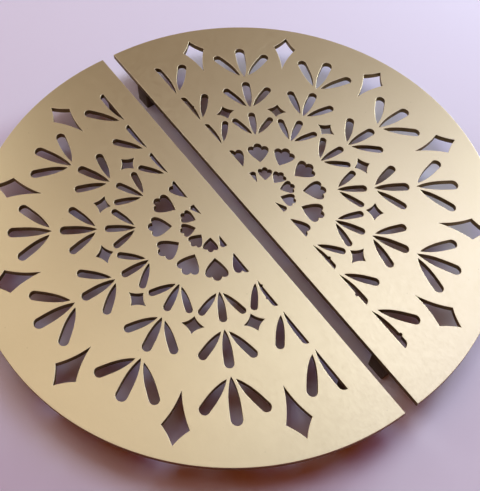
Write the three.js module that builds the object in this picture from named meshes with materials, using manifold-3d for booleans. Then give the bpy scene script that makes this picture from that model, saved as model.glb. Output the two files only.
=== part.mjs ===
// A pair of half-round laser-cut metal screens that lie side by side as one disc.
//
// Each half is a flat half disc of sheet metal, cut through with half of a twelve-fold rosette.
// It stands on two square spacer blocks behind the solid band along its straight edge.
// A weld stud on the back of the sheet sits in the top of each block, and a tapped hole in the
// bottom of the block takes the screw that fixes the screen to a door leaf, a wall or a frame.
// The rosette is the same at both ends of the sheet, so the right half is the left one turned
// half a turn about the middle of the gap.
//
// Millimetres, +Z up. The straight edges run along Y, and +X points from the left half to the
// right half. The origin is on the floor, in the middle of the gap.

import * as THREE from 'three';
import { mergeVertices } from 'three/addons/utils/BufferGeometryUtils.js';
import Module from 'manifold-3d';

const wasm = await Module();
wasm.setup();

// --- Driving dimensions -----------------------------------------------------------------

// The sheets
const sheetRadius = 250;
const sheetThickness = 6;
const gapWidth = 14; // between the two straight edges
const bandWidth = 26.6; // solid metal between a straight edge and the cut rosette
const rimSteps = 90; // straight pieces in a half circle

// The spacer blocks
const blockHeight = 29;
const blockWidth = 17; // across the straight edge
const blockLength = 19; // along the straight edge
const blockInset = 3.5; // from the straight edge to the block
const blockCentreY = 199;
const blockCorner = 0.8; // chamfer of the upright edges

// The fixings
const studRadius = 3;
const studLength = 9;
const studFlangeRadius = 4;
const studFlangeHeight = 0.8;
const studClearance = 0.3;
const tappedHoleRadius = 3.4; // tapping size for an 8 mm thread
const tappedHoleDepth = 16;
const roundSides = 16;

// The rosette. It is drawn round and then narrowed across the sheet, to make room for the
// solid band. Here "inner", "waist", "outer", "centre" and "point" are radii from its centre.
const foldAngle = Math.PI / 6;
const innerFoldAngle = Math.PI / 5;
const narrowing = 0.918;

// Four-pointed cut-outs with hollow sides. A bow is how far a side is hollowed.
const kite = { inner: 177.5, waist: 211.3, outer: 227.5, halfWidth: 12.8, innerBow: 1.7, outerBow: 0.8 };
const star = { centre: 112.8, halfLength: 9.2, halfWidth: 10.9, bow: 1.25 };

// Shells, and the drops that end their inner ring. Lengths run outwards from the point.
const shell = { halfWidth: 11.6, shoulder: 17, middleLobe: 20.3, middleRadius: 4.7, sideRadius: 4.2 };
const shellRings = [
  { point: 38.9, scale: 1, angle: foldAngle, endsInDrops: false },
  { point: 15.4, scale: 0.67, angle: innerFoldAngle, endsInDrops: true },
];
const drop = { point: 14.8, widest: 10.4, halfWidth: 6.2, endRadius: 3.5 };

// Petals, in threes: a middle one and two side ones that lean away from it.
const petal = { halfWidth: 5.6, swell: 12, widest: 31, endCentre: 39.1 };
const petalRings = [
  { point: 160.8, scale: 1 },
  { point: 115, scale: 0.85 },
  { point: 75.7, scale: 0.71 },
];
const sidePetal = { scale: 0.905, lean: THREE.MathUtils.degToRad(41), outward: 2.3, aside: 4.3 };
const bandSlot = { widening: 1.11, shift: 1.1 }; // the half petals beside the solid band

const curveSteps = 3;
const roundEndSteps = 4;
const lobeSteps = 4;

// --- Values worked out from them --------------------------------------------------------

const sheetBase = blockHeight;
const straightEdgeX = gapWidth / 2;
const rosetteCentreX = straightEdgeX + bandWidth;
const blockCentreX = straightEdgeX + blockInset + blockWidth / 2;
const studBoreRadius = studRadius + studClearance;
const flangeRecessRadius = studFlangeRadius + studClearance;

// --- Materials --------------------------------------------------------------------------

const materials = {
  sheet: { color: 0xc9b58a, roughness: 0.38, metalness: 1 },
  block: { color: 0xb8a479, roughness: 0.45, metalness: 1 },
  stud: { color: 0x9a9ca0, roughness: 0.4, metalness: 1 },
};

function makeMesh(name, geometry, finish) {
  const mesh = new THREE.Mesh(geometry, new THREE.MeshStandardMaterial(materials[finish]));
  mesh.name = name;
  return mesh;
}

// --- Outlines of the cut-outs -----------------------------------------------------------
// Each outline is half a motif: a list of points (outward, aside) that starts and ends on the
// motif's own centre line. A whole motif is that half and its mirror image.

function point(outward, aside) {
  return new THREE.Vector2(outward, aside);
}

// A curve from start to end that passes the chord's middle by bow, on the centre line's side.
function bowedSide(start, end, bow) {
  const along = end.clone().sub(start).normalize();
  const inward = point(along.y, -along.x);
  if (inward.y > 0) {
    inward.negate();
  }
  const control = start.clone().lerp(end, 0.5).addScaledVector(inward, 2 * bow);
  return new THREE.QuadraticBezierCurve(start, control, end).getPoints(curveSteps);
}

function arcPoints(centreOutward, centreAside, radius, startAngle, endAngle, steps) {
  const points = [];
  for (let step = 0; step <= steps; step += 1) {
    const angle = THREE.MathUtils.lerp(startAngle, endAngle, step / steps);
    points.push(point(centreOutward + radius * Math.cos(angle), centreAside + radius * Math.sin(angle)));
  }
  return points;
}

// A long four-pointed motif with hollow sides.
function halfKite() {
  const waist = point(kite.waist, kite.halfWidth);
  const innerSide = bowedSide(point(kite.inner, 0), waist, kite.innerBow);
  const outerSide = bowedSide(waist, point(kite.outer, 0), kite.outerBow);
  return [...innerSide, ...outerSide.slice(1)];
}

// A small four-pointed star with hollow sides.
function halfStar() {
  const side = point(star.centre, star.halfWidth);
  const innerSide = bowedSide(point(star.centre - star.halfLength, 0), side, star.bow);
  const outerSide = bowedSide(side, point(star.centre + star.halfLength, 0), star.bow);
  return [...innerSide, ...outerSide.slice(1)];
}

// A shell: a point towards the centre, two swelling sides and three round lobes outside.
function halfShell(ring) {
  const sideCentreAside = shell.halfWidth - shell.sideRadius;
  const toSide = point(shell.shoulder - shell.middleLobe, sideCentreAside);
  const apart = toSide.length();
  const towards = Math.atan2(toSide.y, toSide.x);
  const middleTurn = cornerAngle(shell.middleRadius, apart, shell.sideRadius);
  const sideTurn = cornerAngle(shell.sideRadius, apart, shell.middleRadius);

  const swelling = new THREE.QuadraticBezierCurve(
    point(0, 0),
    point((2 * shell.shoulder) / 3, shell.halfWidth),
    point(shell.shoulder, shell.halfWidth),
  ).getPoints(curveSteps);
  const sideLobe = arcPoints(
    shell.shoulder, sideCentreAside, shell.sideRadius,
    Math.PI / 2, towards - Math.PI + sideTurn, lobeSteps,
  );
  const middleLobe = arcPoints(
    shell.middleLobe, 0, shell.middleRadius,
    towards - middleTurn, 0, lobeSteps,
  );
  const half = [...swelling, ...sideLobe.slice(1), ...middleLobe.slice(1)];
  return half.map((p) => point(ring.point + p.x * ring.scale, p.y * ring.scale));
}

// The angle between sides a and b of a triangle whose third side is c.
function cornerAngle(a, b, c) {
  return Math.acos((a * a + b * b - c * c) / (2 * a * b));
}

// A small drop that replaces the inner shell beside the band.
function halfDrop() {
  const tip = point(drop.point, 0);
  const widest = point(drop.point + drop.widest, drop.halfWidth);
  const endCentreAside = drop.halfWidth - drop.endRadius;
  const end = arcPoints(widest.x, endCentreAside, drop.endRadius, Math.PI / 2, 0, roundEndSteps);
  return [tip, ...end, point(widest.x + drop.endRadius, 0)];
}

// A petal with its point at the origin and a round outer end.
function halfPetal(scale) {
  const side = new THREE.QuadraticBezierCurve(
    point(0, 0),
    point(petal.swell, petal.halfWidth),
    point(petal.widest, petal.halfWidth),
  ).getPoints(curveSteps);
  const end = arcPoints(petal.endCentre, 0, petal.halfWidth, Math.PI / 2, 0, roundEndSteps);
  return [...side, ...end].map((p) => p.multiplyScalar(scale));
}

function wholeMotif(half) {
  const mirrored = half.slice(1, -1).reverse().map((p) => point(p.x, -p.y));
  return [...half, ...mirrored];
}

function moved(outline, outward, aside = 0, lean = 0) {
  const origin = point(0, 0);
  return outline.map((p) => p.clone().rotateAround(origin, lean).add(point(outward, aside)));
}

function sidePetalOutline(ring, hand) {
  const outline = wholeMotif(halfPetal(sidePetal.scale * ring.scale));
  const outward = ring.point + sidePetal.outward * ring.scale;
  return moved(outline, outward, hand * sidePetal.aside * ring.scale, hand * sidePetal.lean);
}

// --- The rosette on the left sheet ------------------------------------------------------

// Turns a motif to its angle from the straight edge, narrows the rosette and puts it in place.
function onSheet(outline, angle) {
  return outline.map((p) => {
    const across = p.x * Math.sin(angle) + p.y * Math.cos(angle);
    const along = p.x * Math.cos(angle) - p.y * Math.sin(angle);
    return point(-rosetteCentreX - narrowing * across, along);
  });
}

// A motif on the edge of the solid band keeps only the half that is away from the band.
function bandHand(angle) {
  return angle === 0 ? 1 : -1;
}

function cutHalf(half, angle) {
  return half.map((p) => point(p.x, bandHand(angle) * p.y));
}

function onBandEdge(fold, lastFold) {
  return fold === 0 || fold === lastFold;
}

// The middle petal beside the band: one half, a little wider and reaching into the band.
function halfSlot(ring) {
  const half = halfPetal(ring.scale).map((p) => point(p.x, p.y * bandSlot.widening));
  return moved(half, ring.point, -bandSlot.shift * ring.scale);
}

function petalCutOuts() {
  const lastFold = Math.round(Math.PI / foldAngle);
  const cutOuts = [];
  for (const ring of petalRings) {
    const half = moved(halfPetal(ring.scale), ring.point);
    for (let fold = 0; fold <= lastFold; fold += 1) {
      const angle = fold * foldAngle;
      const atBand = onBandEdge(fold, lastFold);
      const middle = atBand ? cutHalf(halfSlot(ring), angle) : wholeMotif(half);
      cutOuts.push(onSheet(middle, angle));
      for (const hand of atBand ? [bandHand(angle)] : [1, -1]) {
        cutOuts.push(onSheet(sidePetalOutline(ring, hand), angle));
      }
    }
  }
  return cutOuts;
}

function shellCutOuts() {
  const cutOuts = [];
  for (const ring of shellRings) {
    const lastFold = Math.round(Math.PI / ring.angle);
    const half = halfShell(ring);
    const bandHalf = ring.endsInDrops ? halfDrop() : half;
    for (let fold = 0; fold <= lastFold; fold += 1) {
      const angle = fold * ring.angle;
      const outline = onBandEdge(fold, lastFold) ? cutHalf(bandHalf, angle) : wholeMotif(half);
      cutOuts.push(onSheet(outline, angle));
    }
  }
  return cutOuts;
}

// The kites and stars stand between the folds, so none of them meets the band.
function pointedCutOuts() {
  const cutOuts = [];
  for (let angle = foldAngle / 2; angle < Math.PI; angle += foldAngle) {
    cutOuts.push(onSheet(wholeMotif(halfKite()), angle));
    cutOuts.push(onSheet(wholeMotif(halfStar()), angle));
  }
  return cutOuts;
}

function makeSheet() {
  const rim = arcPoints(-straightEdgeX, 0, sheetRadius, Math.PI / 2, (3 * Math.PI) / 2, rimSteps);
  const shape = new THREE.Shape(rim);
  for (const outline of [...petalCutOuts(), ...shellCutOuts(), ...pointedCutOuts()]) {
    shape.holes.push(new THREE.Path(outline));
  }
  return new THREE.ExtrudeGeometry(shape, { depth: sheetThickness, bevelEnabled: false });
}

// --- Spacer blocks and their weld studs -------------------------------------------------

function toManifold(geometry) {
  const bare = geometry.clone();
  bare.deleteAttribute('normal');
  bare.deleteAttribute('uv');
  const merged = mergeVertices(bare, 1e-4);
  return new wasm.Manifold(new wasm.Mesh({
    numProp: 3,
    vertProperties: new Float32Array(merged.attributes.position.array),
    triVerts: new Uint32Array(merged.index.array),
  }));
}

function fromManifold(solid) {
  const mesh = solid.getMesh();
  const geometry = new THREE.BufferGeometry();
  geometry.setAttribute('position', new THREE.BufferAttribute(mesh.vertProperties, 3));
  geometry.setIndex(new THREE.BufferAttribute(mesh.triVerts, 1));
  geometry.computeVertexNormals();
  return geometry;
}

function uprightCylinder(radius, bottom, top) {
  const geometry = new THREE.CylinderGeometry(radius, radius, top - bottom, roundSides);
  geometry.rotateX(Math.PI / 2);
  geometry.translate(0, 0, (top + bottom) / 2);
  return geometry;
}

// The block is bored from the top for the stud and its flange, and tapped from the bottom.
function makeBlock() {
  const halfWidth = blockWidth / 2;
  const halfLength = blockLength / 2;
  const outline = [];
  for (const [sx, sy] of [[1, 1], [-1, 1], [-1, -1], [1, -1]]) {
    const onLongSide = point(sx * halfWidth, sy * (halfLength - blockCorner));
    const onShortSide = point(sx * (halfWidth - blockCorner), sy * halfLength);
    outline.push(...(sx * sy > 0 ? [onLongSide, onShortSide] : [onShortSide, onLongSide]));
  }
  const body = new THREE.ExtrudeGeometry(new THREE.Shape(outline), {
    depth: blockHeight,
    bevelEnabled: false,
  });
  const pastFace = 1; // each cutting tool reaches this far past the face that it enters
  const boreEnd = blockHeight - studLength - studClearance;
  const recessEnd = blockHeight - studFlangeHeight - studClearance;
  const solid = toManifold(body)
    .subtract(toManifold(uprightCylinder(studBoreRadius, boreEnd, blockHeight + pastFace)))
    .subtract(toManifold(uprightCylinder(flangeRecessRadius, recessEnd, blockHeight + pastFace)))
    .subtract(toManifold(uprightCylinder(tappedHoleRadius, -pastFace, tappedHoleDepth)));
  return fromManifold(solid);
}

// The stud hangs from the back of the sheet: a thin flange, then the shank with a bevelled tip.
function makeStud() {
  const tip = 0.6;
  const profile = [
    point(0, 0),
    point(studFlangeRadius, 0),
    point(studFlangeRadius, -studFlangeHeight),
    point(studRadius, -studFlangeHeight),
    point(studRadius, -studLength + tip),
    point(studRadius - tip, -studLength),
    point(0, -studLength),
  ].reverse();
  const geometry = new THREE.LatheGeometry(profile, roundSides);
  geometry.rotateX(Math.PI / 2);
  return geometry;
}

// --- Assembly ---------------------------------------------------------------------------

// Makes a half in the left half's place. The first end is the one towards +Y there.
function makeHalf(name, ends) {
  const half = new THREE.Group();
  const sheet = makeMesh(`${name}_sheet`, makeSheet(), 'sheet');
  sheet.position.z = sheetBase;
  half.add(sheet);
  ends.forEach((end, index) => {
    const y = index === 0 ? blockCentreY : -blockCentreY;
    const block = makeMesh(`${name}_${end}_block`, makeBlock(), 'block');
    block.position.set(-blockCentreX, y, 0);
    const stud = makeMesh(`${name}_${end}_stud`, makeStud(), 'stud');
    stud.position.set(-blockCentreX, y, sheetBase);
    half.add(block, stud);
  });
  return half;
}

const leftHalf = makeHalf('left', ['upper', 'lower']);
const rightHalf = makeHalf('right', ['lower', 'upper']);
rightHalf.rotation.z = Math.PI;

const screenPair = new THREE.Group();
screenPair.add(leftHalf, rightHalf);

export default screenPair;
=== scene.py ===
import math
import bpy
import bmesh
from mathutils import Matrix, Vector


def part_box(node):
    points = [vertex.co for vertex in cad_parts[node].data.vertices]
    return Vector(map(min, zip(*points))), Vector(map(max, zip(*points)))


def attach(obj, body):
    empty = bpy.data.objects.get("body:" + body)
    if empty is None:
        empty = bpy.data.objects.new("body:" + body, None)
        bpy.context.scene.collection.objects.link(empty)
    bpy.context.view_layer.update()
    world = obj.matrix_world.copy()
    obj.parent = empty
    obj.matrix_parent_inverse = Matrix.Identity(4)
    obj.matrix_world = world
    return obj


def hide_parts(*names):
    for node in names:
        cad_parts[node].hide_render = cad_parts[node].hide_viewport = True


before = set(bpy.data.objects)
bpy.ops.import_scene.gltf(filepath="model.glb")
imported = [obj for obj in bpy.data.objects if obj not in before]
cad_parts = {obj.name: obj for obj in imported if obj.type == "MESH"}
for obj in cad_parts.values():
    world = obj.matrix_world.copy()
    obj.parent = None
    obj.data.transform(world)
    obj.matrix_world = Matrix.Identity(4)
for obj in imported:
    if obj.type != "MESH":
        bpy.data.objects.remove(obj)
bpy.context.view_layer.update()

mm = 0.001
halfTurn = 180                # degrees


camera = {
    "place": (-0.2584, -0.3462, 0.6524),
    "aim": (-0.0240, -0.0360, 0.0350),
    "roll": 1.74,             # degrees, the camera turned anticlockwise
    "lens": 57.77,
    "sensor": 36,
}


def makeCamera():
    data = bpy.data.cameras.new("photoCamera")
    data.lens = camera["lens"]
    data.sensor_width = camera["sensor"]
    data.sensor_fit = "HORIZONTAL"
    obj = bpy.data.objects.new("photoCamera", data)
    bpy.context.collection.objects.link(obj)
    place = Vector(camera["place"])
    look = (Vector(camera["aim"]) - place).to_track_quat("-Z", "Y").to_matrix().to_4x4()
    roll = Matrix.Rotation(math.radians(camera["roll"]), 4, "Z")
    obj.matrix_world = Matrix.Translation(place) @ look @ roll
    bpy.context.scene.camera = obj


def newGroup(name, inputs, outputs):
    group = bpy.data.node_groups.new(name, "ShaderNodeTree")
    for label, value in inputs:
        socket = group.interface.new_socket(label, in_out="INPUT", socket_type="NodeSocketFloat")
        socket.default_value = value
    for label in outputs:
        group.interface.new_socket(label, in_out="OUTPUT", socket_type="NodeSocketFloat")
    return group, group.nodes.new("NodeGroupInput"), group.nodes.new("NodeGroupOutput")


def addNode(tree, kind, values=None, **settings):
    node = tree.nodes.new(kind)
    for key, value in settings.items():
        setattr(node, key, value)
    for label, value in (values or {}).items():
        node.inputs[label].default_value = value
    return node


noise = {
    "used": (0.3, 0.7),       # noise stays near its middle, so only this part of it is spread out
    "grainDetail": 3,
    "cloudDetail": 4,
    "cloudRoughness": 0.6,
    "speckEdge": 0.05,        # distances from a speck's centre, as shares of the speck spacing
    "speckCore": 0.02,
    "linesDetail": 2,
    "burnDetail": 3,
    "bumpDistance": 0.1,      # mm
}


# Fine grain drawn out along one axis, broad clouds, and rare small specks
def makeSatinGrain():
    group, start, end = newGroup(
        "satinGrain",
        [("Grain Size", 900), ("Stretch", 3), ("Cloud Size", 9), ("Speck Spacing", 70)],
        ["Grain", "Cloud", "Speck"],
    )
    links = group.links
    place = addNode(group, "ShaderNodeTexCoord")
    split = addNode(group, "ShaderNodeSeparateXYZ")
    join = addNode(group, "ShaderNodeCombineXYZ")
    squeeze = addNode(group, "ShaderNodeMath", operation="DIVIDE")
    links.new(place.outputs["Object"], split.inputs["Vector"])
    links.new(split.outputs["Y"], squeeze.inputs[0])
    links.new(start.outputs["Stretch"], squeeze.inputs[1])
    links.new(split.outputs["X"], join.inputs["X"])
    links.new(squeeze.outputs["Value"], join.inputs["Y"])
    links.new(split.outputs["Z"], join.inputs["Z"])
    grain = addNode(group, "ShaderNodeTexNoise", {"Detail": noise["grainDetail"]})
    links.new(join.outputs["Vector"], grain.inputs["Vector"])
    links.new(start.outputs["Grain Size"], grain.inputs["Scale"])
    cloudShape = {"Detail": noise["cloudDetail"], "Roughness": noise["cloudRoughness"]}
    cloud = addNode(group, "ShaderNodeTexNoise", cloudShape)
    links.new(place.outputs["Object"], cloud.inputs["Vector"])
    links.new(start.outputs["Cloud Size"], cloud.inputs["Scale"])
    dots = addNode(group, "ShaderNodeTexVoronoi")
    links.new(place.outputs["Object"], dots.inputs["Vector"])
    links.new(start.outputs["Speck Spacing"], dots.inputs["Scale"])
    speckSpan = {"From Min": noise["speckEdge"], "From Max": noise["speckCore"]}
    speck = addNode(group, "ShaderNodeMapRange", speckSpan)
    links.new(dots.outputs["Distance"], speck.inputs["Value"])
    links.new(grain.outputs["Fac"], end.inputs["Grain"])
    links.new(cloud.outputs["Fac"], end.inputs["Cloud"])
    links.new(speck.outputs["Result"], end.inputs["Speck"])
    return group


# The upright ripples that a laser leaves on a cut wall, and the uneven burn on it
def makeCutMarks():
    group, start, end = newGroup(
        "cutMarks",
        [("Spacing", 1500), ("Upright", 0.06), ("Burn Size", 45)],
        ["Lines", "Burn"],
    )
    links = group.links
    place = addNode(group, "ShaderNodeTexCoord")
    split = addNode(group, "ShaderNodeSeparateXYZ")
    join = addNode(group, "ShaderNodeCombineXYZ")
    squeeze = addNode(group, "ShaderNodeMath", operation="MULTIPLY")
    links.new(place.outputs["Object"], split.inputs["Vector"])
    links.new(split.outputs["Z"], squeeze.inputs[0])
    links.new(start.outputs["Upright"], squeeze.inputs[1])
    links.new(split.outputs["X"], join.inputs["X"])
    links.new(split.outputs["Y"], join.inputs["Y"])
    links.new(squeeze.outputs["Value"], join.inputs["Z"])
    lines = addNode(group, "ShaderNodeTexNoise", {"Detail": noise["linesDetail"]})
    links.new(join.outputs["Vector"], lines.inputs["Vector"])
    links.new(start.outputs["Spacing"], lines.inputs["Scale"])
    burn = addNode(group, "ShaderNodeTexNoise", {"Detail": noise["burnDetail"]})
    links.new(place.outputs["Object"], burn.inputs["Vector"])
    links.new(start.outputs["Burn Size"], burn.inputs["Scale"])
    links.new(lines.outputs["Fac"], end.inputs["Lines"])
    links.new(burn.outputs["Fac"], end.inputs["Burn"])
    return group


def newMaterial(name, metallic):
    material = bpy.data.materials.new(name)
    material.use_nodes = True
    shader = material.node_tree.nodes["Principled BSDF"]
    shader.inputs["Metallic"].default_value = metallic
    return material, material.node_tree, shader


# Spreads the used part of a noise over the values from low to high
def remap(tree, value, low, high):
    usedLow, usedHigh = noise["used"]
    values = {"From Min": usedLow, "From Max": usedHigh, "To Min": low, "To Max": high}
    scale = addNode(tree, "ShaderNodeMapRange", values)
    tree.links.new(value, scale.inputs["Value"])
    return scale.outputs["Result"]


def blendColours(tree, factor, low, high):
    mix = addNode(tree, "ShaderNodeMix", {"A": (*low, 1), "B": (*high, 1)}, data_type="RGBA")
    tree.links.new(factor, mix.inputs["Factor"])
    return mix.outputs["Result"]


def addBump(tree, shader, height, strength):
    values = {"Strength": strength, "Distance": noise["bumpDistance"] * mm}
    bump = addNode(tree, "ShaderNodeBump", values)
    tree.links.new(height, bump.inputs["Height"])
    tree.links.new(bump.outputs["Normal"], shader.inputs["Normal"])


def grainMaterial(name, look, satinGrain):
    material, tree, shader = newMaterial(name, metallic=1)
    grain = addNode(tree, "ShaderNodeGroup", node_tree=satinGrain)
    for label, value in look["grain"].items():
        grain.inputs[label].default_value = value
    cloud = remap(tree, grain.outputs["Cloud"], 0, 1)
    base = blendColours(tree, cloud, look["dark"], look["light"])
    dusted = addNode(tree, "ShaderNodeMix", {"B": (*look["speck"], 1)}, data_type="RGBA")
    tree.links.new(base, dusted.inputs["A"])
    tree.links.new(grain.outputs["Speck"], dusted.inputs["Factor"])
    tree.links.new(dusted.outputs["Result"], shader.inputs["Base Color"])
    roughness = remap(tree, grain.outputs["Grain"], *look["roughness"])
    tree.links.new(roughness, shader.inputs["Roughness"])
    addBump(tree, shader, grain.outputs["Grain"], look["bump"])
    return material


satinGold = {                 # the faces
    "dark": (0.605, 0.510, 0.308),
    "light": (0.635, 0.538, 0.330),
    "speck": (0.50, 0.42, 0.26),
    "roughness": (0.36, 0.44),
    "bump": 0.05,
    "grain": {"Grain Size": 900, "Stretch": 3, "Cloud Size": 9, "Speck Spacing": 70},
}

edgeHighlightGold = {                # their softened edges, painted brighter than the faces as a painted highlight line
    "dark": (0.74, 0.63, 0.42),
    "light": (0.82, 0.71, 0.50),
    "speck": (0.74, 0.62, 0.40),
    "roughness": (0.44, 0.54),
    "bump": 0.03,
    "grain": {"Grain Size": 1400, "Stretch": 1, "Cloud Size": 30, "Speck Spacing": 200},
}

shadedBackBrass = {                 # the backs of the sheets, painted dark and warm as shade, so the floor under them stays shadowed
    "dark": (0.20, 0.105, 0.040),
    "light": (0.27, 0.150, 0.065),
    "speck": (0.13, 0.07, 0.03),
    "roughness": (0.42, 0.56),
    "bump": 0.08,
    "grain": {"Grain Size": 700, "Stretch": 6, "Cloud Size": 14, "Speck Spacing": 50},
}

shadedBlockBronze = {               # the blocks, brushed along the straight edge, their dark tone painted shade from under the sheets
    "dark": (0.10, 0.066, 0.036),
    "light": (0.16, 0.108, 0.060),
    "speck": (0.12, 0.08, 0.05),
    "roughness": (0.38, 0.5),
    "bump": 0.12,
    "grain": {"Grain Size": 700, "Stretch": 10, "Cloud Size": 40, "Speck Spacing": 150},
}

studSteel = {                 # the weld studs
    "dark": (0.38, 0.38, 0.40),
    "light": (0.52, 0.52, 0.54),
    "speck": (0.22, 0.21, 0.20),
    "roughness": (0.3, 0.45),
    "bump": 0.06,
    "grain": {"Grain Size": 1200, "Stretch": 1, "Cloud Size": 120, "Speck Spacing": 400},
}

cutBronzeAndShade = {                 # the walls of the cut-outs and the straight edge, dark partly as laser-cut bronze and partly as painted shade
    "dark": (0.17, 0.115, 0.045),
    "light": (0.31, 0.220, 0.100),
    "roughness": (0.42, 0.6),
    "bump": 0.35,
}

shadedRimBronze = {                 # the wall of the round rim, painted darker and redder than the cut walls as painted shade
    "dark": (0.17, 0.07, 0.025),
    "light": (0.27, 0.12, 0.05),
    "roughness": (0.42, 0.6),
    "bump": 0.25,
}


def cutMaterial(name, look, cutMarks):
    material, tree, shader = newMaterial(name, metallic=1)
    marks = addNode(tree, "ShaderNodeGroup", node_tree=cutMarks)
    burn = remap(tree, marks.outputs["Burn"], 0, 1)
    tone = blendColours(tree, burn, look["dark"], look["light"])
    tree.links.new(tone, shader.inputs["Base Color"])
    roughness = remap(tree, marks.outputs["Lines"], *look["roughness"])
    tree.links.new(roughness, shader.inputs["Roughness"])
    addBump(tree, shader, marks.outputs["Lines"], look["bump"])
    return material


# The rosette's cut-outs, in millimetres from its centre, which lies beside the straight edge
rosette = {
    "narrowing": 0.918,       # across the straight edge
    "band": 26.6,             # solid metal beside the straight edge
    "foldAngle": 30,
    "innerFoldAngle": 36,
    "curveSteps": 9,
    "roundSteps": 9,
}

kite = {
    "inner": 177.5,
    "waist": 211.3,
    "outer": 227.5,
    "halfWidth": 12.8,
    "innerBow": 1.7,
    "outerBow": 0.8,
}

star = {"centre": 112.8, "halfLength": 9.2, "halfWidth": 10.9, "bow": 1.25}

shell = {
    "halfWidth": 11.6,
    "shoulder": 17,
    "swell": 2 / 3,           # of the way to the shoulder, where the side is pulled outward
    "middleLobe": 20.3,
    "middleRadius": 4.7,
    "sideRadius": 4.2,
}

shellRings = [
    {"point": 38.9, "scale": 1, "angle": rosette["foldAngle"], "endsInDrops": False},
    {"point": 15.4, "scale": 0.67, "angle": rosette["innerFoldAngle"], "endsInDrops": True},
]

drop = {"point": 14.8, "widest": 10.4, "halfWidth": 6.2, "endRadius": 3.5}

petal = {"halfWidth": 5.6, "swell": 12, "widest": 31, "endCentre": 39.1}

petalRings = [
    {"point": 160.8, "scale": 1},
    {"point": 115, "scale": 0.85},
    {"point": 75.7, "scale": 0.71},
]

sidePetal = {"scale": 0.905, "lean": 41, "outward": 2.3, "aside": 4.3}

bandSlot = {"widening": 1.11, "shift": 1.1}     # the halved petals beside the solid band

# Small bumps where the laser went in, at places near the band slots' outlines, in millimetres
pierceMarks = {
    "leftSheet": [
        {"along": -82.6, "across": -0.8, "radius": 1.1},
        {"along": -96.0, "across": 3.6, "radius": 1.0},
    ],
    "rightSheet": [
        {"along": -95.0, "across": 3.6, "radius": 1.5},
        {"along": -140.4, "across": -0.9, "radius": 1.7},
        {"along": -193.4, "across": 5.1, "radius": 1.7},
        {"along": 135.1, "across": 3.9, "radius": 1.0},
    ],
}


def curvePoints(start, control, end, steps):
    points = []
    for step in range(steps + 1):
        t = step / steps
        x = (1 - t) ** 2 * start[0] + 2 * t * (1 - t) * control[0] + t * t * end[0]
        y = (1 - t) ** 2 * start[1] + 2 * t * (1 - t) * control[1] + t * t * end[1]
        points.append((x, y))
    return points


def bowedSide(start, end, bow):
    dx, dy = end[0] - start[0], end[1] - start[1]
    length = math.hypot(dx, dy)
    inward = (dy / length, -dx / length)
    if inward[1] > 0:
        inward = (-inward[0], -inward[1])
    middle = ((start[0] + end[0]) / 2, (start[1] + end[1]) / 2)
    control = (middle[0] + 2 * bow * inward[0], middle[1] + 2 * bow * inward[1])
    return curvePoints(start, control, end, rosette["curveSteps"])


def arcPoints(centre, radius, startAngle, endAngle, steps):
    points = []
    for step in range(steps + 1):
        angle = startAngle + (endAngle - startAngle) * step / steps
        points.append((centre[0] + radius * math.cos(angle), centre[1] + radius * math.sin(angle)))
    return points


def halfKite():
    waist = (kite["waist"], kite["halfWidth"])
    innerSide = bowedSide((kite["inner"], 0), waist, kite["innerBow"])
    return innerSide + bowedSide(waist, (kite["outer"], 0), kite["outerBow"])[1:]


def halfStar():
    side = (star["centre"], star["halfWidth"])
    innerSide = bowedSide((star["centre"] - star["halfLength"], 0), side, star["bow"])
    return innerSide + bowedSide(side, (star["centre"] + star["halfLength"], 0), star["bow"])[1:]


# The angle between sides a and b of a triangle whose third side is c
def cornerAngle(a, b, c):
    return math.acos((a * a + b * b - c * c) / (2 * a * b))


def halfShell(ring):
    sideCentre = (shell["shoulder"], shell["halfWidth"] - shell["sideRadius"])
    middleCentre = (shell["middleLobe"], 0)
    toSide = (sideCentre[0] - middleCentre[0], sideCentre[1])
    apart = math.hypot(*toSide)
    towards = math.atan2(toSide[1], toSide[0])
    middleTurn = cornerAngle(shell["middleRadius"], apart, shell["sideRadius"])
    sideTurn = cornerAngle(shell["sideRadius"], apart, shell["middleRadius"])
    shoulder = (shell["shoulder"], shell["halfWidth"])
    steps = rosette["roundSteps"]
    control = (shell["swell"] * shoulder[0], shoulder[1])
    swelling = curvePoints((0, 0), control, shoulder, rosette["curveSteps"])
    sideEnd = towards - math.pi + sideTurn
    sideLobe = arcPoints(sideCentre, shell["sideRadius"], math.pi / 2, sideEnd, steps)
    middleLobe = arcPoints(middleCentre, shell["middleRadius"], towards - middleTurn, 0, steps)
    half = swelling + sideLobe[1:] + middleLobe[1:]
    return [(ring["point"] + u * ring["scale"], v * ring["scale"]) for u, v in half]


def halfDrop():
    widest = drop["point"] + drop["widest"]
    endCentre = (widest, drop["halfWidth"] - drop["endRadius"])
    end = arcPoints(endCentre, drop["endRadius"], math.pi / 2, 0, rosette["roundSteps"])
    return [(drop["point"], 0)] + end + [(widest + drop["endRadius"], 0)]


def halfPetal(scale):
    widest = (petal["widest"], petal["halfWidth"])
    control = (petal["swell"], petal["halfWidth"])
    side = curvePoints((0, 0), control, widest, rosette["curveSteps"])
    endCentre = (petal["endCentre"], 0)
    end = arcPoints(endCentre, petal["halfWidth"], math.pi / 2, 0, rosette["roundSteps"])
    return [(u * scale, v * scale) for u, v in side + end]


def wholeMotif(half):
    return half + [(u, -v) for u, v in reversed(half[1:-1])]


def moved(outline, outward, aside=0.0, lean=0.0):
    c, s = math.cos(lean), math.sin(lean)
    return [(outward + u * c - v * s, aside + u * s + v * c) for u, v in outline]


def sidePetalOutline(ring, hand):
    outline = wholeMotif(halfPetal(sidePetal["scale"] * ring["scale"]))
    outward = ring["point"] + sidePetal["outward"] * ring["scale"]
    aside = hand * sidePetal["aside"] * ring["scale"]
    return moved(outline, outward, aside, hand * math.radians(sidePetal["lean"]))


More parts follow.
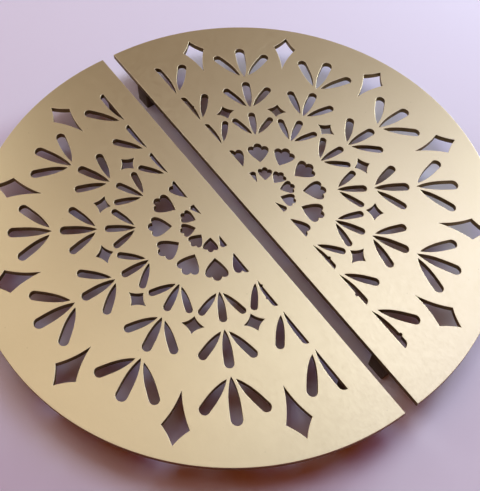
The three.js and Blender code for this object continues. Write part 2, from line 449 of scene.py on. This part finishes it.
def halfSlot(ring):
    half = [(u, v * bandSlot["widening"]) for u, v in halfPetal(ring["scale"])]
    return moved(half, ring["point"], -bandSlot["shift"] * ring["scale"])


# The two motifs on the solid band are halves, on the side away from the straight edge
def bandHand(angle):
    return 1 if angle == 0 else -1


def cutHalf(half, angle):
    return [(u, bandHand(angle) * v) for u, v in half]


def petalOutlines():
    turned = []
    for ring in petalRings:
        for angle in range(0, halfTurn + 1, rosette["foldAngle"]):
            if angle in (0, halfTurn):
                turned.append((cutHalf(halfSlot(ring), angle), angle))
                turned.append((sidePetalOutline(ring, bandHand(angle)), angle))
            else:
                turned.append((moved(wholeMotif(halfPetal(ring["scale"])), ring["point"]), angle))
                turned.append((sidePetalOutline(ring, 1), angle))
                turned.append((sidePetalOutline(ring, -1), angle))
    return turned


def shellOutlines():
    turned = []
    for ring in shellRings:
        for angle in range(0, halfTurn + 1, ring["angle"]):
            if angle in (0, halfTurn):
                half = halfDrop() if ring["endsInDrops"] else halfShell(ring)
                turned.append((cutHalf(half, angle), angle))
            else:
                turned.append((wholeMotif(halfShell(ring)), angle))
    return turned


def betweenFolds():
    turned = []
    for angle in range(rosette["foldAngle"] // 2, halfTurn, rosette["foldAngle"]):
        turned.append((wholeMotif(halfKite()), angle))
        turned.append((wholeMotif(halfStar()), angle))
    return turned


# Turns an outline about the rosette's centre and puts it on the sheet at that side, in metres
def onSheet(outline, angle, side, straightEdge):
    turn = math.radians(angle)
    centre = straightEdge + rosette["band"] * mm
    points = []
    for u, v in outline:
        across = u * math.sin(turn) + v * math.cos(turn)
        along = u * math.cos(turn) - v * math.sin(turn)
        points.append((side * (centre + rosette["narrowing"] * across * mm), along * mm))
    return points


def isInside(place, outline):
    inside = False
    for (ax, ay), (bx, by) in zip(outline, outline[1:] + outline[:1]):
        crosses = (ay > place[1]) != (by > place[1])
        if crosses and place[0] < ax + (place[1] - ay) * (bx - ax) / (by - ay):
            inside = not inside
    return inside


# Splits every side of an outline into pieces no longer than the step
def splitSides(outline, step):
    points = []
    for start, end in zip(outline, outline[1:] + outline[:1]):
        pieces = max(1, math.ceil(math.dist(start, end) / step))
        for piece in range(pieces):
            t = piece / pieces
            points.append((start[0] + t * (end[0] - start[0]), start[1] + t * (end[1] - start[1])))
    return points


pierceSteps = {"search": 1, "sidesPerRadius": 4}     # the search step is in millimetres


# Lets a small round bump out of an outline, at the point of it that is nearest to the place
def withBump(outline, place, radius):
    points = splitSides(outline, radius / pierceSteps["sidesPerRadius"])
    nearest = min(range(len(points)), key=lambda index: math.dist(points[index], place))
    centre = points[nearest]
    points = points[nearest:] + points[:nearest]
    kept = [point for point in points if math.dist(point, centre) > radius]
    startAngle = math.atan2(kept[-1][1] - centre[1], kept[-1][0] - centre[0])
    endAngle = math.atan2(kept[0][1] - centre[1], kept[0][0] - centre[0])
    sweep = (endAngle - startAngle) % (2 * math.pi)
    halfway = startAngle + sweep / 2
    middle = (centre[0] + radius * math.cos(halfway), centre[1] + radius * math.sin(halfway))
    if isInside(middle, outline):
        sweep -= 2 * math.pi
    return kept + arcPoints(centre, radius, startAngle, startAngle + sweep, rosette["roundSteps"])


def distanceTo(outline, place):
    points = splitSides(outline, pierceSteps["search"] * mm)
    return min(math.dist(point, place) for point in points)


def addPierceMarks(outlines, name, side, straightEdge):
    for mark in pierceMarks[name]:
        place = onSheet([(mark["along"], mark["across"])], 0, side, straightEdge)[0]
        distances = [distanceTo(outline, place) for outline in outlines]
        marked = distances.index(min(distances))
        outlines[marked] = withBump(outlines[marked], place, mark["radius"] * mm)


sheetLook = {
    "rimSteps": 180,
    "edgeRound": 0.3,         # radius of the softened edges, mm
    "edgeSteps": 2,
    "wallLean": 0.3,          # a face whose normal has a smaller Z part than this is a cut wall
    "flatLean": 0.99,         # and a larger one than this puts it on the sheet's face or back
    "rimDepth": 1,            # a cut wall within this of the round edge is the rim, mm
    "mergeWithin": 0.001,     # points closer than this become one, mm
    "cornerAngle": 35,        # sharper corners than this stay sharp, degrees
}


def addSpline(data, points):
    spline = data.splines.new("POLY")
    spline.points.add(len(points) - 1)
    for place, (x, y) in zip(spline.points, points):
        place.co = (x, y, 0, 1)
    spline.use_cyclic_u = True


# A filled flat curve gives the sheet its cut-outs, thickness and softened edges in one mesh
def sheetMesh(name, outlines, low, high):
    edgeRound = sheetLook["edgeRound"] * mm
    data = bpy.data.curves.new(name, "CURVE")
    data.dimensions = "2D"
    data.fill_mode = "BOTH"
    for outline in outlines:
        addSpline(data, outline)
    data.extrude = (high.z - low.z) / 2 - edgeRound
    data.bevel_depth = edgeRound
    data.bevel_resolution = sheetLook["edgeSteps"]
    data.offset = -edgeRound
    curve = bpy.data.objects.new(name + "Curve", data)
    bpy.context.collection.objects.link(curve)
    bpy.context.view_layer.update()
    shaped = curve.evaluated_get(bpy.context.evaluated_depsgraph_get())
    mesh = bpy.data.meshes.new_from_object(shaped)
    mesh.transform(Matrix.Translation((0, 0, (high.z + low.z) / 2)))
    bpy.data.objects.remove(curve)
    mesh.name = name
    return mesh


def closeMesh(mesh):
    work = bmesh.new()
    work.from_mesh(mesh)
    bmesh.ops.remove_doubles(work, verts=work.verts, dist=sheetLook["mergeWithin"] * mm)
    bmesh.ops.recalc_face_normals(work, faces=work.faces)
    openEdges = [edge for edge in work.edges if not edge.is_manifold]
    print(mesh.name, "has", len(work.faces), "faces and", len(openEdges), "open edges")
    work.to_mesh(mesh)
    work.free()


def keepFacesFlat(mesh):
    mesh.shade_smooth()
    cornerAngle = math.radians(sheetLook["cornerAngle"])
    work = bmesh.new()
    work.from_mesh(mesh)
    for edge in work.edges:
        onFace = [abs(face.normal.z) > sheetLook["flatLean"] for face in edge.link_faces]
        corner = len(onFace) == 2 and edge.calc_face_angle() > cornerAngle
        edge.smooth = onFace[0] == onFace[-1] and not corner
    work.to_mesh(mesh)
    work.free()


def addPiece(name, mesh, node):
    piece = bpy.data.objects.new(name, mesh)
    bpy.context.collection.objects.link(piece)
    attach(piece, "root")
    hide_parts(node)


# The place in the list of a sheet's materials of the one that a face of its mesh gets
def finishIndex(face, finishes, rimCentre, rimRadius):
    lean = face.normal.z
    if abs(lean) > sheetLook["flatLean"]:
        return finishes.index("face" if lean > 0 else "back")
    if abs(lean) > sheetLook["wallLean"]:
        return finishes.index("edge")
    onRim = math.dist(face.center.xy, rimCentre) > rimRadius - sheetLook["rimDepth"] * mm
    return finishes.index("rim" if onRim else "wall")


def makeSheet(name, node, side, materials):
    low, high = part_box(node)
    straightEdge = min(abs(low.x), abs(high.x))
    rimCentre = (side * straightEdge, 0)
    endAngle = math.pi / 2 - side * math.pi
    rim = arcPoints(rimCentre, high.y, math.pi / 2, endAngle, sheetLook["rimSteps"])
    turned = petalOutlines() + shellOutlines() + betweenFolds()
    outlines = [onSheet(outline, angle, side, straightEdge) for outline, angle in turned]
    addPierceMarks(outlines, name, side, straightEdge)
    mesh = sheetMesh(name, [rim] + outlines, low, high)
    closeMesh(mesh)
    mesh.materials.clear()
    for material in materials.values():
        mesh.materials.append(material)
    finishes = list(materials)
    for face in mesh.polygons:
        face.material_index = finishIndex(face, finishes, rimCentre, high.y)
    keepFacesFlat(mesh)
    addPiece(name, mesh, node)


block = {                     # mm
    "cornerRadius": 1.1,
    "cornerSteps": 6,
    "sideSteps": 8,
    "edgeRound": 0.35,
    "edgeSteps": 3,
    "studRecessRadius": 4.3,  # takes the stud's flange
    "studRecessDepth": 1.1,
    "studBoreRadius": 3.3,
    "studBoreDepth": 9.3,
    "countersinkRadius": 4.3,
    "threadRadius": 3.4,      # at the crests of a tapped hole for an 8 mm screw
    "threadDepth": 0.55,
    "threadPitch": 1.25,
    "pitchSteps": 6,
    "threadEnd": 15,
    "threadFade": 8,          # the grooves fade in and out over one part in this many of the thread
    "drillTip": 2,
    "drillTipRadius": 0.3,
    "cornerAngle": 35,        # sharper corners than this stay sharp, degrees
}


# One corner's arc after another, each followed by points along the side that comes next
def blockOutline(halfWidth, halfLength, inset):
    radius = block["cornerRadius"] * mm
    reach = radius - inset
    corners = [(1, 1, 0), (-1, 1, 1), (-1, -1, 2), (1, -1, 3)]
    arcs = []
    for signX, signY, quarter in corners:
        centre = (signX * (halfWidth - radius), signY * (halfLength - radius))
        start = quarter * math.pi / 2
        arcs.append(arcPoints(centre, reach, start, start + math.pi / 2, block["cornerSteps"]))
    points = []
    for arc, following in zip(arcs, arcs[1:] + arcs[:1]):
        points += arc
        for step in range(1, block["sideSteps"]):
            t = step / block["sideSteps"]
            x = arc[-1][0] + t * (following[0][0] - arc[-1][0])
            y = arc[-1][1] + t * (following[0][1] - arc[-1][1])
            points.append((x, y))
    return points


def roundRing(angles, radius, z):
    return [(radius * math.cos(angle), radius * math.sin(angle), z) for angle in angles]


# A screw thread's ring: the radius rises and falls along a slope that climbs one pitch a turn
def threadRing(angles, z, fade):
    ring = []
    pitch = block["threadPitch"] * mm
    for angle in angles:
        phase = (z / pitch - angle / (2 * math.pi)) % 1
        groove = 1 - abs(2 * phase - 1)
        radius = (block["threadRadius"] + fade * groove * block["threadDepth"]) * mm
        ring.append((radius * math.cos(angle), radius * math.sin(angle), z))
    return ring


def tappedHoleRings(angles):
    threadStart = (block["countersinkRadius"] - block["threadRadius"]) * mm
    threadEnd = block["threadEnd"] * mm
    steps = round((threadEnd - threadStart) / (block["threadPitch"] * mm) * block["pitchSteps"])
    rings = [roundRing(angles, block["countersinkRadius"] * mm, 0)]
    for step in range(steps + 1):
        share = step / steps
        fade = min(1, block["threadFade"] * min(share, 1 - share))
        rings.append(threadRing(angles, threadStart + share * (threadEnd - threadStart), fade))
    tip = threadEnd + block["drillTip"] * mm
    rings.append(roundRing(angles, block["drillTipRadius"] * mm, tip))
    return rings


def studHoleRings(angles, top):
    recess = block["studRecessRadius"] * mm
    bore = block["studBoreRadius"] * mm
    recessEnd = top - block["studRecessDepth"] * mm
    boreEnd = top - block["studBoreDepth"] * mm
    return [
        roundRing(angles, recess, top),
        roundRing(angles, recess, recessEnd),
        roundRing(angles, bore, recessEnd),
        roundRing(angles, bore, boreEnd),
    ]


# From the tip of the tapped hole, over the outside of the block, to the floor of the stud's bore
def blockRings(halfWidth, halfLength, top):
    outline = blockOutline(halfWidth, halfLength, 0)
    angles = [math.atan2(y, x) for x, y in outline]
    edgeRound = block["edgeRound"] * mm
    rings = list(reversed(tappedHoleRings(angles)))
    for lower in (True, False):
        for step in range(block["edgeSteps"] + 1):
            turn = step / block["edgeSteps"] * math.pi / 2
            inset = edgeRound * (1 - (math.sin(turn) if lower else math.cos(turn)))
            rise = edgeRound * (1 - (math.cos(turn) if lower else math.sin(turn)))
            z = rise if lower else top - rise
            rings.append([(x, y, z) for x, y in blockOutline(halfWidth, halfLength, inset)])
    return rings + studHoleRings(angles, top)


def makeBlock(name, node, material):
    low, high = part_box(node)
    centre = (low + high) / 2
    rings = blockRings((high.x - low.x) / 2, (high.y - low.y) / 2, high.z - low.z)
    work = bmesh.new()
    rows = []
    for ring in rings:
        rows.append([work.verts.new((x + centre.x, y + centre.y, z + low.z)) for x, y, z in ring])
    for row, following in zip(rows, rows[1:]):
        for index in range(len(row)):
            work.faces.new((row[index - 1], row[index], following[index], following[index - 1]))
    work.faces.new(rows[0])
    work.faces.new(rows[-1])
    bmesh.ops.recalc_face_normals(work, faces=work.faces)
    for edge in work.edges:
        edge.smooth = edge.calc_face_angle() < math.radians(block["cornerAngle"])
    mesh = bpy.data.meshes.new(name)
    work.to_mesh(mesh)
    work.free()
    for face in mesh.polygons:
        face.use_smooth = True
    mesh.materials.append(material)
    addPiece(name, mesh, node)


studio = {
    "floorRadius": 1,                 # m
    "floorSteps": 64,
    "floorFade": 0.6,                 # m, from here outward the floor fades into the backdrop
    "backdrop": (0.62, 0.60, 0.74),   # the pale colour beyond the floor
    "floorDark": (0.85, 0.86, 0.99),
    "floorLight": (0.87, 0.88, 1.0),
    "floorCloud": 5,
    "floorRoughness": 1,
    "floorShine": 0,
    "fill": (0.18, 0.035, 0.008),     # dim warm light from all round
}

# What the metal mirrors from round about: the sine of the height, and the colour there
mirrored = [
    (0.2, (0.64, 0.58, 0.62)),
    (0.45, (0.46, 0.30, 0.14)),
    (0.65, (0.20, 0.16, 0.13)),
    (0.8, (0.15, 0.05, 0.03)),
    (0.95, (0.02, 0.01, 0.01)),
]

# A lamp's height and heading are degrees round the object, its heading counted from +X towards +Y
lamps = {
    "keyPanel": {"height": 50, "heading": 0, "distance": 2.4, "size": 1.4, "power": 9.0,
                 "colour": (0.38, 0.41, 1.0)},
    "highPanel": {"height": 65, "heading": 20, "distance": 2.4, "size": 1.2, "power": 12.5,
                  "colour": (0.79, 0.86, 1.0)},
    "rightSmall": {"height": 20, "heading": 5, "distance": 1.6, "size": 0.4, "power": 15.6,
                   "colour": (0.80, 0.93, 0.96)},
    "backSmall": {"height": 35, "heading": 105, "distance": 1.6, "size": 0.6, "power": 3.4,
                  "colour": (0.82, 0.82, 0.84)},
    "topSmall": {"height": 70, "heading": 120, "distance": 1.6, "size": 1.0, "power": 3.7,
                 "colour": (1.0, 0.89, 0.82)},
}


# The floor is clear from below, so the underside can be seen too
def makeFloor():
    angles = [2 * math.pi * step / studio["floorSteps"] for step in range(studio["floorSteps"])]
    mesh = bpy.data.meshes.new("floor")
    mesh.from_pydata(roundRing(angles, studio["floorRadius"], 0), [], [range(studio["floorSteps"])])
    floor = bpy.data.objects.new("floor", mesh)
    bpy.context.collection.objects.link(floor)
    material, tree, shader = newMaterial("paperFloor", metallic=0)
    place = addNode(tree, "ShaderNodeTexCoord")
    cloud = addNode(tree, "ShaderNodeTexNoise", {"Scale": studio["floorCloud"]})
    tree.links.new(place.outputs["Object"], cloud.inputs["Vector"])
    tone = blendColours(tree, cloud.outputs["Fac"], studio["floorDark"], studio["floorLight"])
    tree.links.new(tone, shader.inputs["Base Color"])
    shader.inputs["Roughness"].default_value = studio["floorRoughness"]
    shader.inputs["Specular IOR Level"].default_value = studio["floorShine"]
    reach = addNode(tree, "ShaderNodeVectorMath", operation="LENGTH")
    tree.links.new(place.outputs["Object"], reach.inputs[0])
    edges = {"From Min": studio["floorRadius"], "From Max": studio["floorFade"]}
    fade = addNode(tree, "ShaderNodeMapRange", edges, interpolation_type="SMOOTHSTEP")
    tree.links.new(reach.outputs["Value"], fade.inputs["Value"])
    geometry = addNode(tree, "ShaderNodeNewGeometry")
    above = addNode(tree, "ShaderNodeMath", {0: 1}, operation="SUBTRACT")
    tree.links.new(geometry.outputs["Backfacing"], above.inputs[1])
    solid = addNode(tree, "ShaderNodeMath", operation="MULTIPLY")
    tree.links.new(fade.outputs["Result"], solid.inputs[0])
    tree.links.new(above.outputs["Value"], solid.inputs[1])
    tree.links.new(solid.outputs["Value"], shader.inputs["Alpha"])
    mesh.materials.append(material)


def makeWorld():
    world = bpy.data.worlds.new("studioWorld")
    world.use_nodes = True
    tree = world.node_tree
    place = addNode(tree, "ShaderNodeTexCoord")
    split = addNode(tree, "ShaderNodeSeparateXYZ")
    tree.links.new(place.outputs["Generated"], split.inputs["Vector"])
    around = addNode(tree, "ShaderNodeValToRGB")
    tree.links.new(split.outputs["Z"], around.inputs["Fac"])
    stops = around.color_ramp.elements
    while len(stops) < len(mirrored):
        stops.new(1)
    for stop, (height, colour) in zip(stops, mirrored):
        stop.position = height
        stop.color = (*colour, 1)
    path = addNode(tree, "ShaderNodeLightPath")
    mirrors = addNode(tree, "ShaderNodeMath", operation="MAXIMUM")
    tree.links.new(path.outputs["Is Glossy Ray"], mirrors.inputs[0])
    tree.links.new(path.outputs["Is Transmission Ray"], mirrors.inputs[1])
    glow = addNode(tree, "ShaderNodeMix", {"A": (*studio["fill"], 1)}, data_type="RGBA")
    tree.links.new(mirrors.outputs["Value"], glow.inputs["Factor"])
    tree.links.new(around.outputs["Color"], glow.inputs["B"])
    shown = addNode(tree, "ShaderNodeMix", {"B": (*studio["backdrop"], 1)}, data_type="RGBA")
    tree.links.new(path.outputs["Is Camera Ray"], shown.inputs["Factor"])
    tree.links.new(glow.outputs["Result"], shown.inputs["A"])
    tree.links.new(shown.outputs["Result"], tree.nodes["Background"].inputs["Color"])
    bpy.context.scene.world = world


def makeLamp(name, lamp):
    height = math.radians(lamp["height"])
    heading = math.radians(lamp["heading"])
    level = math.cos(height)
    direction = Vector((level * math.cos(heading), level * math.sin(heading), math.sin(height)))
    data = bpy.data.lights.new(name, "AREA")
    data.size = lamp["size"]
    data.energy = lamp["power"]
    data.color = lamp["colour"]
    obj = bpy.data.objects.new(name, data)
    bpy.context.collection.objects.link(obj)
    obj.location = lamp["distance"] * direction
    obj.rotation_euler = (-direction).to_track_quat("-Z", "Y").to_euler()


makeCamera()
print("camera ready")

satinGrain = makeSatinGrain()
shadedBronzeBlock = grainMaterial("shadedBlockBronze", shadedBlockBronze, satinGrain)
steelStud = grainMaterial("studSteel", studSteel, satinGrain)
cutMarks = makeCutMarks()
sheetMaterials = {
    "face": grainMaterial("satinGold", satinGold, satinGrain),
    "edge": grainMaterial("edgeHighlightGold", edgeHighlightGold, satinGrain),
    "wall": cutMaterial("cutBronzeAndShade", cutBronzeAndShade, cutMarks),
    "rim": cutMaterial("shadedRimBronze", shadedRimBronze, cutMarks),
    "back": grainMaterial("shadedBackBrass", shadedBackBrass, satinGrain),
}
print("materials ready")

makeSheet("leftSheet", "left_sheet", -1, sheetMaterials)
makeSheet("rightSheet", "right_sheet", 1, sheetMaterials)
print("sheets ready")

for side in ("left", "right"):
    for end in ("upper", "lower"):
        makeBlock(side + end.title() + "Block", side + "_" + end + "_block", shadedBronzeBlock)
        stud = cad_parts[side + "_" + end + "_stud"]
        stud.data.materials.clear()
        stud.data.materials.append(steelStud)
print("blocks and studs ready")

bpy.context.scene.view_settings.view_transform = "Standard"
makeFloor()
makeWorld()
for name, lamp in lamps.items():
    makeLamp(name, lamp)
print("studio ready")
